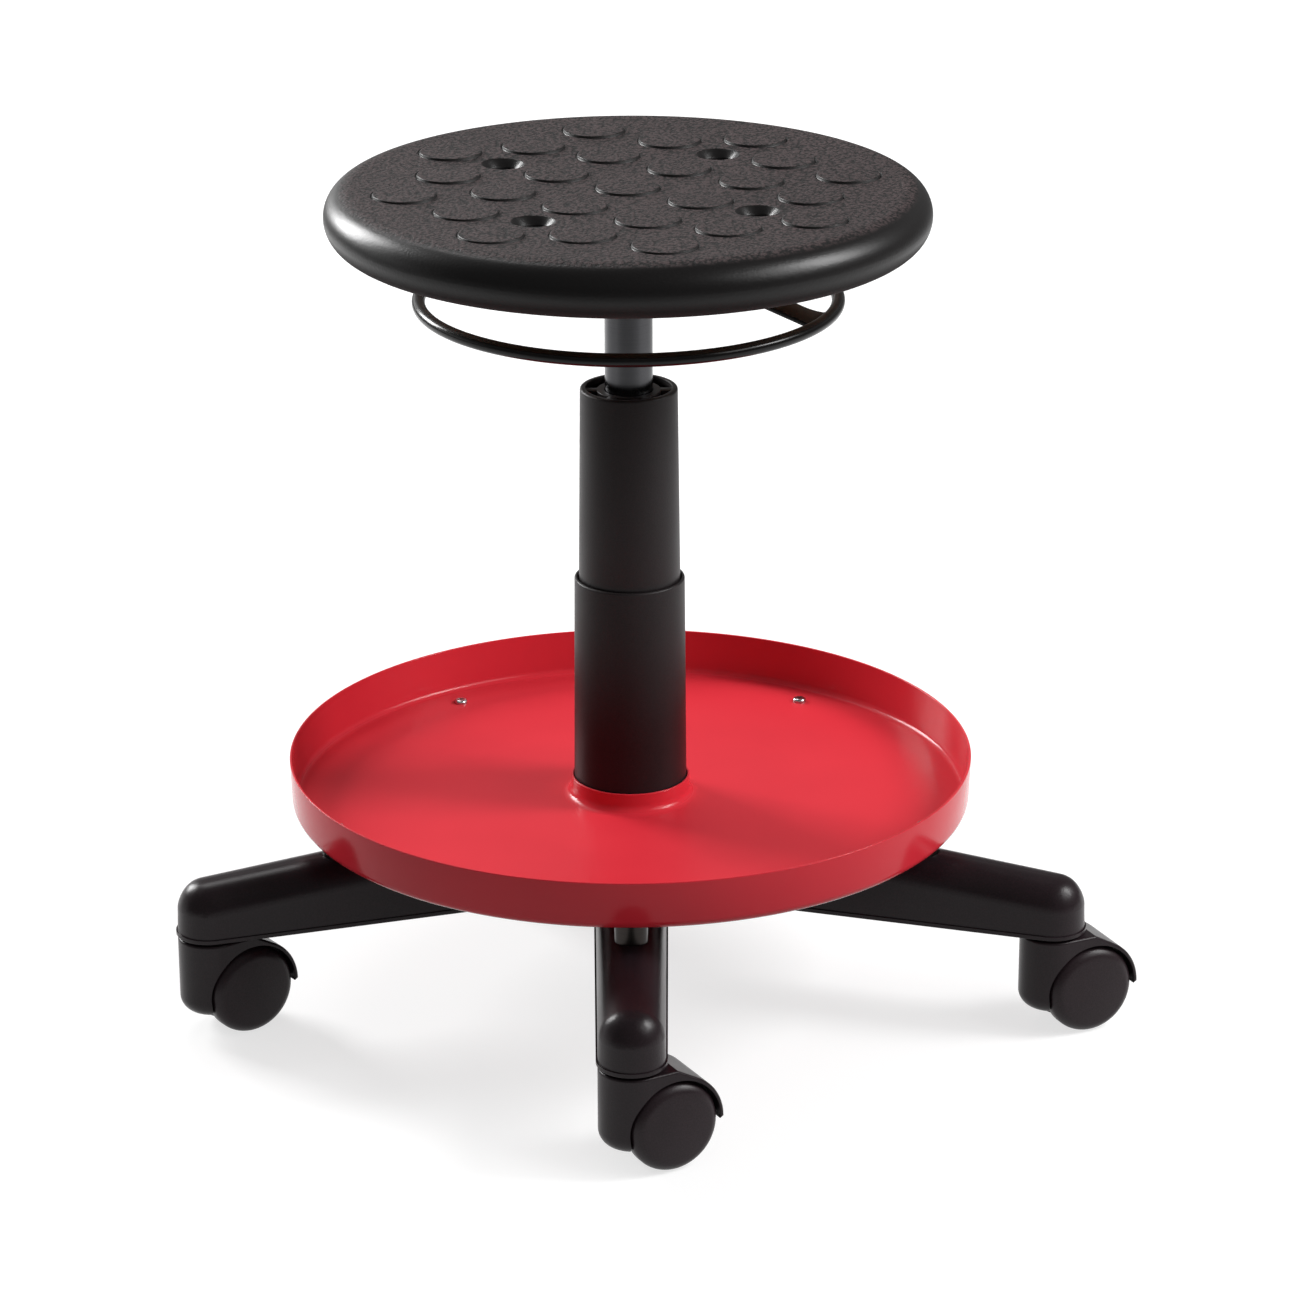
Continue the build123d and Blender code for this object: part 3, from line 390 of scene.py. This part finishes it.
def raise_rings(shape, edges, x, y, radius, rings, drawn=None):
    """Draws a loop on through (radius, rise) rings about its centre and returns the last loop."""
    centre = Vector((x * mm, y * mm, 0))
    for ring_r, rise in rings:
        made = bmesh.ops.extrude_edge_only(shape, edges=edges)["geom"]
        verts = [part for part in made if isinstance(part, bmesh.types.BMVert)]
        edges = [part for part in made if isinstance(part, bmesh.types.BMEdge)]
        share = ring_r / radius
        bmesh.ops.scale(shape, vec=(share, share, 1), verts=verts, space=Matrix.Translation(-centre))
        bmesh.ops.translate(shape, vec=(0, 0, rise * mm), verts=verts)
        if drawn is not None and rise:
            drawn += verts
        radius = ring_r
    return edges


def build_seat():
    """Bullnose foam seat with a dished top, raised round studs and four screw wells."""
    profile = [
        (board_r, board_top, 0),
        (board_r, seat_foot, 0),
        (seat_flat_r, seat_foot, 0),
        (seat_r, seat_foot, seat_nose - 0.01),
        (seat_r, seat_rim_top, seat_nose - 0.01),
        (seat_flat_r - 0.5, seat_rim_top, 0),
    ]
    shape = half_section(profile, closed=False, steps=14)
    spin_round(shape, 192)
    rims = [edge for edge in shape.edges if edge.is_boundary]
    top_loops = [edge for edge in rims if edge.verts[0].co.z > (seat_rim_top - 1) * mm]
    foot_loops = [edge for edge in rims if edge.verts[0].co.z < (board_top + 1) * mm]
    # A whole stud sinks with the dish as its middle does, so it stays level
    level_at = {}
    for count, radius, start in stud_rings:
        for k in range(count):
            angle = radians(seat_turn + start + 360 / count * k)
            x, y = radius * cos(angle), radius * sin(angle)
            edges = loop_of(shape, stud_r + stud_groove, x, y)
            top_loops += edges
            rings = [(stud_r + out, rise) for out, rise in stud_loops]
            drawn = []
            last = raise_rings(shape, edges, x, y, stud_r + stud_groove, rings, drawn)
            level_at.update((vert, radius * mm) for vert in drawn + [v for edge in last for v in edge.verts])
            bmesh.ops.edgeloop_fill(shape, edges=last)
    for k in range(4):
        angle = radians(seat_turn + 45 + 90 * k)
        reach = well_half_pitch * 2 ** 0.5
        x, y = reach * cos(angle), reach * sin(angle)
        edges = loop_of(shape, well_mouth + well_margin, x, y)
        top_loops += edges
        rings = [
            (well_mouth + 1.0, 0.0), (well_mouth + 0.65, -0.05), (well_mouth + 0.3, -0.15), (well_mouth, -0.25),
            (well_bore + 0.4, well_bore + 0.4 - well_mouth), (well_bore + 0.15, -0.35), (well_bore, -0.45),
            (well_bore, -2.5),
        ]
        rings.append((well_bore, board_top - seat_rim_top - sum(drop for _, drop in rings)))
        foot_loops += raise_rings(shape, edges, x, y, well_mouth + well_margin, rings)
    bmesh.ops.triangle_fill(shape, use_beauty=True, use_dissolve=False, edges=top_loops, normal=(0, 0, 1))
    bmesh.ops.triangle_fill(shape, use_beauty=True, use_dissolve=False, edges=foot_loops, normal=(0, 0, 1))
    for vert in shape.verts:
        reach = level_at.get(vert, (vert.co.x ** 2 + vert.co.y ** 2) ** 0.5)
        if reach < seat_flat_r * mm and vert.co.z > (seat_rim_top - well_depth) * mm:
            vert.co.z -= seat_dish * mm * (1 - (reach / (seat_flat_r * mm)) ** 2)
    bmesh.ops.recalc_face_normals(shape, faces=shape.faces[:])
    seat = piece_of("seat_foam", shape, finishes["seat_foam"], "seat", ["seat_cushion"], sharp=55)


# Tool tray
def build_tray():
    """Pressed tray: flat floor, leaning wall with a rolled lip, and a collar round the column."""
    sheet = 1.4
    collar = 33.9
    collar_rise = 12.0
    wall_foot = 202.0
    rim = 203.2
    wall_height = 29.2
    floor_top = tray_under + sheet
    top = tray_under + wall_height
    section = [
        (collar, floor_top + collar_rise, 0.5),
        (collar, tray_under, 6.9),
        (wall_foot, tray_under, 5.4),
        (rim, top, 0.5),
        (rim - sheet, top, 0.5),
        (wall_foot - sheet, floor_top, 4.0),
        (collar + sheet, floor_top, 5.5),
        (collar + sheet, floor_top + collar_rise, 0.5),
    ]
    shape = spin_round(half_section(section, steps=6), 256)
    piece_of("tray_pressing", shape, finishes["red_enamel"], "base", ["tool_tray"], sharp=60)


# Column covers
def build_covers():
    """Two drafted sleeves, the upper one with a rim and a spoked ring round the cylinder."""
    wall = 1.8
    lower_r, lower_top_r = 33.6, 32.55
    lower = [
        (lower_r, cover_foot, 0.3), (lower_top_r, cover_step, 1.1), (lower_top_r - wall, cover_step, 0.4),
        (lower_r - wall, cover_foot, 0.3),
    ]
    shape = spin_round(half_section(lower), 128)
    piece_of("lower_sleeve", shape, finishes["cover_plastic"], "base", ["lower_cover"])
    upper_r, upper_top_r, rim_r = 30.4, 28.5, 25.1
    upper = [
        (upper_r, sleeve_foot, 0.4), (upper_top_r, sleeve_top, 1.5), (rim_r, sleeve_top, 0.5),
        (rim_r, sleeve_top - 4, 0.3), (upper_top_r - wall, sleeve_top - 5, 0.3), (upper_r - wall, sleeve_foot, 0.3),
    ]
    shape = spin_round(half_section(upper), 128)
    guide_r, guide_out, guide_drop, guide_foot = 14.3, 18.7, 1.4, 5.4
    ring = [
        (guide_r, sleeve_top - guide_drop, 0.3), (guide_out, sleeve_top - guide_drop, 0.4),
        (guide_out, sleeve_top - guide_foot, 0.2), (guide_r, sleeve_top - guide_foot, 0.2),
    ]
    join(shape, spin_round(half_section(ring), 96))
    spokes = 6
    spoke_at, spoke_drop, spoke_size = 21.9, 3.4, (7.6 * mm, 6 * mm, 4 * mm, 1)
    for k in range(spokes):
        turn = Matrix.Rotation(radians(360 / spokes * k), 4, "Z")
        at = turn @ Matrix.Translation((spoke_at * mm, 0, (sleeve_top - spoke_drop) * mm))
        made = bmesh.ops.create_cube(shape, size=1.0, matrix=at @ Matrix.Diagonal(spoke_size))
        round_edges(shape, edges_of(made["verts"]), 0.4)
    piece_of("upper_sleeve", shape, finishes["cover_plastic"], "upper_cover", ["upper_cover"])


# Ring lever
def build_ring():
    """Round wire bent to a ring."""
    ring_r = 121
    wire_r = 3.9
    shape = bmesh.new()
    at = Matrix.Translation((ring_r * mm, 0, ring_height * mm)) @ Matrix.Rotation(radians(90), 4, "X")
    bmesh.ops.create_circle(shape, cap_ends=False, segments=28, radius=wire_r * mm, matrix=at)
    spin_round(shape, 224)
    enamel = finishes["black_enamel"]
    piece_of("lever_ring", shape, enamel, "release_lever", ["release_ring"], sharp=80)


def build_bar():
    """Flat bar bent across the ring, flared where it is welded on, with the tube that the pin turns in."""
    reach = 118.4
    bend_at = 23.0
    bend_height = bar_top - 1.5
    half_width = 10
    thickness = 3
    flare_from = 105.0
    flare = 9.0
    flare_cuts = 5
    pin_reach, pin_drop = 18, 4.5
    tube_bore, tube_r = 2.05, 3.65
    bar_turn = -25
    shape = bmesh.new()
    side = [(-reach, ring_height), (-bend_at, bend_height), (bend_at, bend_height), (reach, ring_height)]
    points = [shape.verts.new((x * mm, -half_width * mm, z * mm)) for x, z in side]
    for start, end in zip(points, points[1:]):
        shape.edges.new((start, end))
    bmesh.ops.bevel(
        shape, geom=points[1:3], offset=5 * mm, offset_type="OFFSET", segments=6, profile=0.5,
        material=-1, affect="VERTICES",
    )
    made = bmesh.ops.extrude_edge_only(shape, edges=shape.edges[:])["geom"]
    far_side = [part for part in made if isinstance(part, bmesh.types.BMVert)]
    bmesh.ops.translate(shape, vec=(0, 2 * half_width * mm, 0), verts=far_side)
    for step in range(flare_cuts):
        for way in (1, -1):
            cut = (flare_from + step * (reach - flare_from) / flare_cuts) * way
            bmesh.ops.bisect_plane(
                shape, geom=shape.verts[:] + shape.edges[:] + shape.faces[:], dist=0.001 * mm,
                plane_co=(cut * mm, 0, 0), plane_no=(1, 0, 0),
            )
    for vert in shape.verts:
        way = 1 if vert.co.x > 0 else -1
        share = min(1.0, (abs(vert.co.x) / mm - flare_from) / (reach - flare_from))
        if share > 0 and vert.co.y * way > 0:
            vert.co.y += way * flare * mm * (1 - (1 - share ** 2) ** 0.5)
    bmesh.ops.recalc_face_normals(shape, faces=shape.faces[:])
    bmesh.ops.translate(shape, vec=(0, 0, thickness / 2 * mm), verts=shape.verts[:])
    bmesh.ops.solidify(shape, geom=shape.faces[:], thickness=thickness * mm)
    creases = [edge for edge in shape.edges if edge.is_manifold and edge.calc_face_angle() > radians(60)]
    round_edges(shape, creases, 0.5)
    section = [
        (tube_bore, -half_width, 0.2), (tube_r, -half_width, 0.3), (tube_r, half_width, 0.3),
        (tube_bore, half_width, 0.2),
    ]
    tube = spin_round(half_section(section, steps=2), 40)
    bmesh.ops.rotate(tube, cent=(0, 0, 0), matrix=Matrix.Rotation(radians(90), 3, "X"), verts=tube.verts[:])
    bmesh.ops.translate(tube, vec=(pin_reach * mm, 0, (bar_top - pin_drop) * mm), verts=tube.verts[:])
    join(shape, tube)
    aim = Matrix.Rotation(radians(bar_turn), 3, "Z")
    bmesh.ops.rotate(shape, cent=(0, 0, 0), matrix=aim, verts=shape.verts[:])
    piece_of("lever_flat_bar", shape, finishes["black_enamel"], "release_lever", ["lever_bar"])


# Caster wheels
def build_wheels():
    """Hollow wheels with a domed outer face that rolls over into the tread."""
    axle_bore, hub_r, hollow_r = 3.1, 7.0, 22.6
    bore_end, hollow_end = wheel_face + 8.6, wheel_face + 7.6
    face = wheel_face + wheel_w
    roll_from = wheel_r - wheel_roll
    section = [
        (0.0, bore_end), (axle_bore, bore_end), (axle_bore, wheel_face), (hub_r, wheel_face), (hub_r, hollow_end),
        (hollow_r, hollow_end), (hollow_r, wheel_face), (wheel_r - 0.8, wheel_face),
        (wheel_r - 0.24, wheel_face + 0.24), (wheel_r, wheel_face + 0.8),
    ]
    steps = 10
    for step in range(steps, -1, -1):
        part = radians(90 * step / steps)
        reach = roll_from + wheel_roll * sin(part)
        section.append((reach, face + wheel_crown * (1 - (reach / wheel_r) ** 2) - wheel_roll * (1 - cos(part))))
    for step in range(5, -1, -1):
        reach = roll_from * step / 6
        section.append((reach, face + wheel_crown * (1 - (reach / wheel_r) ** 2)))
    for number, turn in enumerate(trail_turns, start=1):
        leg = radians(leg_start + leg_step * (number - 1))
        stem = Matrix.Translation((stem_reach * cos(leg) * mm, stem_reach * sin(leg) * mm, 0))
        caster = stem @ Matrix.Rotation(radians(turn), 4, "Z") @ Matrix.Translation((trail * mm, 0, wheel_r * mm))
        for side, quarter in (("left", -90), ("right", 90)):
            shape = spin_round(half_section([(x, z, 0) for x, z in section], closed=False), 96)
            at = caster @ Matrix.Rotation(radians(quarter), 4, "X")
            bmesh.ops.transform(shape, matrix=at, verts=shape.verts[:])
            name = "wheel_%s_%d" % (side, number)
            piece_of("domed_" + name, shape, finishes["wheel_nylon"], name, [name], sharp=35)


build_seat()
build_tray()
build_covers()
build_ring()
build_bar()
build_wheels()

# Shading of the CAD nodes that stay
for node in frame["nodes"].values():
    node.data.shade_smooth()
    node.data.set_sharp_from_angle(angle=radians(28))

# Studio: a pale floor, one soft box behind on the left, two nested ones on the right and one above. Metres and watts.
floor_colour = "A2A2A2"
floor_light = 0.70
dark_floor = 0.1
floor_half = 15
fill_level = 0.25
mirror_level = 0.22
side_level = 0.15
middle = (0, 0, 0.3)


def seen_directly(tree):
    """One where the camera, a mirror or a glass looks, and zero for the light that falls on things."""
    path = add_node(tree, "ShaderNodeLightPath")
    direct = add_node(
        tree, "ShaderNodeMath", None, {0: path.outputs["Is Camera Ray"], 1: path.outputs["Is Glossy Ray"]},
        operation="ADD",
    )
    seen = add_node(
        tree, "ShaderNodeMath", None, {0: direct.outputs[0], 1: path.outputs["Is Transmission Ray"]},
        operation="ADD", use_clamp=True,
    )
    return seen.outputs[0]


def build_stage():
    """A wide pale floor that keeps a light, soft shadow."""
    finish, tree, shader, where = new_finish("studio_floor", Roughness=0.9, Specular_IOR_Level=0.1)
    shader.inputs["Base Color"].default_value = linear(floor_colour)
    # Far out the floor stays white to the eye, but in a mirror it grows dark there and toward the front
    to_eye = add_node(tree, "ShaderNodeLightPath").outputs["Is Camera Ray"]
    end = spread(tree, to_eye, dark_floor, 1.0)
    axes = add_node(tree, "ShaderNodeSeparateXYZ", None, {0: where})
    front = add_node(
        tree, "ShaderNodeMapRange", {"From Min": -0.55, "From Max": -1.15, "To Min": 0.0},
        {"Value": axes.outputs["Y"], "To Max": spread(tree, to_eye, 1.0, 0.0)},
    )
    away = add_node(tree, "ShaderNodeVectorMath", None, {0: where}, operation="LENGTH")
    outward = add_node(
        tree, "ShaderNodeMapRange", {"From Min": 1.0, "From Max": 2.5}, {"Value": away.outputs["Value"]},
    )
    share = add_node(
        tree, "ShaderNodeMath", None, {0: front.outputs[0], 1: outward.outputs[0]}, operation="MAXIMUM",
    )
    glow = add_node(
        tree, "ShaderNodeMapRange", {"To Min": floor_light}, {"Value": share.outputs[0], "To Max": end},
    )
    shown = add_node(
        tree, "ShaderNodeMath", None, {0: glow.outputs[0], 1: seen_directly(tree)}, operation="MULTIPLY",
    )
    own_light = add_node(tree, "ShaderNodeEmission", None, {"Strength": shown.outputs[0]})
    both = add_node(tree, "ShaderNodeAddShader", None, {0: shader.outputs[0], 1: own_light.outputs[0]})
    tree.links.new(both.outputs[0], tree.nodes["Material Output"].inputs["Surface"])
    shape = bmesh.new()
    bmesh.ops.create_grid(shape, x_segments=1, y_segments=1, size=floor_half)
    mesh = bpy.data.meshes.new("floor")
    shape.to_mesh(mesh)
    shape.free()
    mesh.materials.append(finish)
    floor = bpy.data.objects.new("floor", mesh)
    bpy.context.collection.objects.link(floor)


def build_sky():
    """A white room to look at, whose mirror image fades upward, and a grey one for the light that it gives."""
    world = bpy.data.worlds.new("studio")
    bpy.context.scene.world = world
    world.use_nodes = True
    sky = world.node_tree
    path = add_node(sky, "ShaderNodeLightPath")
    way = add_node(sky, "ShaderNodeTexCoord").outputs["Generated"]
    axes = add_node(sky, "ShaderNodeSeparateXYZ", None, {0: way})
    # The room is lightest behind the stool on the left, down at the floor's end
    side = add_node(sky, "ShaderNodeVectorMath", {1: (-0.707, 0.707, 0)}, {0: way}, operation="DOT_PRODUCT")
    pale = add_node(
        sky, "ShaderNodeMapRange", {"From Min": 0.45, "From Max": 0.85, "To Min": side_level, "To Max": 1.0},
        {"Value": side.outputs["Value"]}, interpolation_type="SMOOTHSTEP",
    )
    fade = add_node(
        sky, "ShaderNodeMapRange",
        {"From Min": sin(radians(4)), "From Max": sin(radians(17)), "To Max": mirror_level},
        {"Value": axes.outputs["Z"], "To Min": pale.outputs[0]}, interpolation_type="SMOOTHSTEP",
    )
    mirrored = add_node(
        sky, "ShaderNodeMath", None, {0: path.outputs["Is Glossy Ray"], 1: path.outputs["Is Transmission Ray"]},
        operation="MAXIMUM",
    )
    level = add_node(
        sky, "ShaderNodeMix", {2: fill_level}, {0: mirrored.outputs[0], 3: fade.outputs[0]}, data_type="FLOAT",
    )
    shown = add_node(
        sky, "ShaderNodeMix", {3: 1.0}, {0: path.outputs["Is Camera Ray"], 2: level.outputs[0]}, data_type="FLOAT",
    )
    background = sky.nodes["Background"].inputs
    background["Color"].default_value = (1, 1, 1, 1)
    sky.links.new(shown.outputs[0], background["Strength"])


def soft_box(name, place, width, height, power):
    """One rectangular lamp that looks at the stool's middle."""
    lamp = bpy.data.lights.new(name, "AREA")
    lamp.shape = "RECTANGLE"
    lamp.size = width
    lamp.size_y = height
    lamp.energy = power
    box = bpy.data.objects.new(name, lamp)
    box.location = place
    box.rotation_euler = (Vector(middle) - Vector(place)).to_track_quat("-Z", "Y").to_euler()
    bpy.context.collection.objects.link(box)


build_stage()
build_sky()
soft_box("left_box", (-1.66, 1.39, 1.2), 0.8, 1.0, 62)
soft_box("right_box", (1.8, -0.42, 1.6), 1.9, 1.1, 27)
soft_box("right_core", (1.75, -0.2, 1.56), 0.6, 0.9, 29)
soft_box("top_box", (-0.6, 1.4, 2.4), 0.8, 0.8, 13)

# Camera, as measured from the photograph: its place in metres, and its lens in pixels of the photograph
camera_place = (0, -2.5813, 1.1827)
tilt = radians(20.583)
roll = radians(-0.253)
photo_side = 1300
focal = 4654.2
centre_x, centre_y = 629.9, 641.7
sensor = 36.0
forward = Vector((0, cos(tilt), -sin(tilt)))
upward = Vector((0, sin(tilt), cos(tilt)))
across = Vector((1, 0, 0))
camera_right = across * cos(roll) + upward * sin(roll)
camera_up = upward * cos(roll) - across * sin(roll)
lens = bpy.data.cameras.new("photo_camera")
lens.sensor_width = sensor
lens.lens = sensor * focal / photo_side
lens.shift_x = (photo_side / 2 - centre_x) / photo_side
lens.shift_y = (centre_y - photo_side / 2) / photo_side
camera = bpy.data.objects.new("photo_camera", lens)
rows = Matrix((camera_right, camera_up, -forward)).transposed()
camera.matrix_world = Matrix.Translation(camera_place) @ rows.to_4x4()
bpy.context.collection.objects.link(camera)
bpy.context.scene.camera = camera
bpy.context.scene.view_settings.view_transform = "Standard"
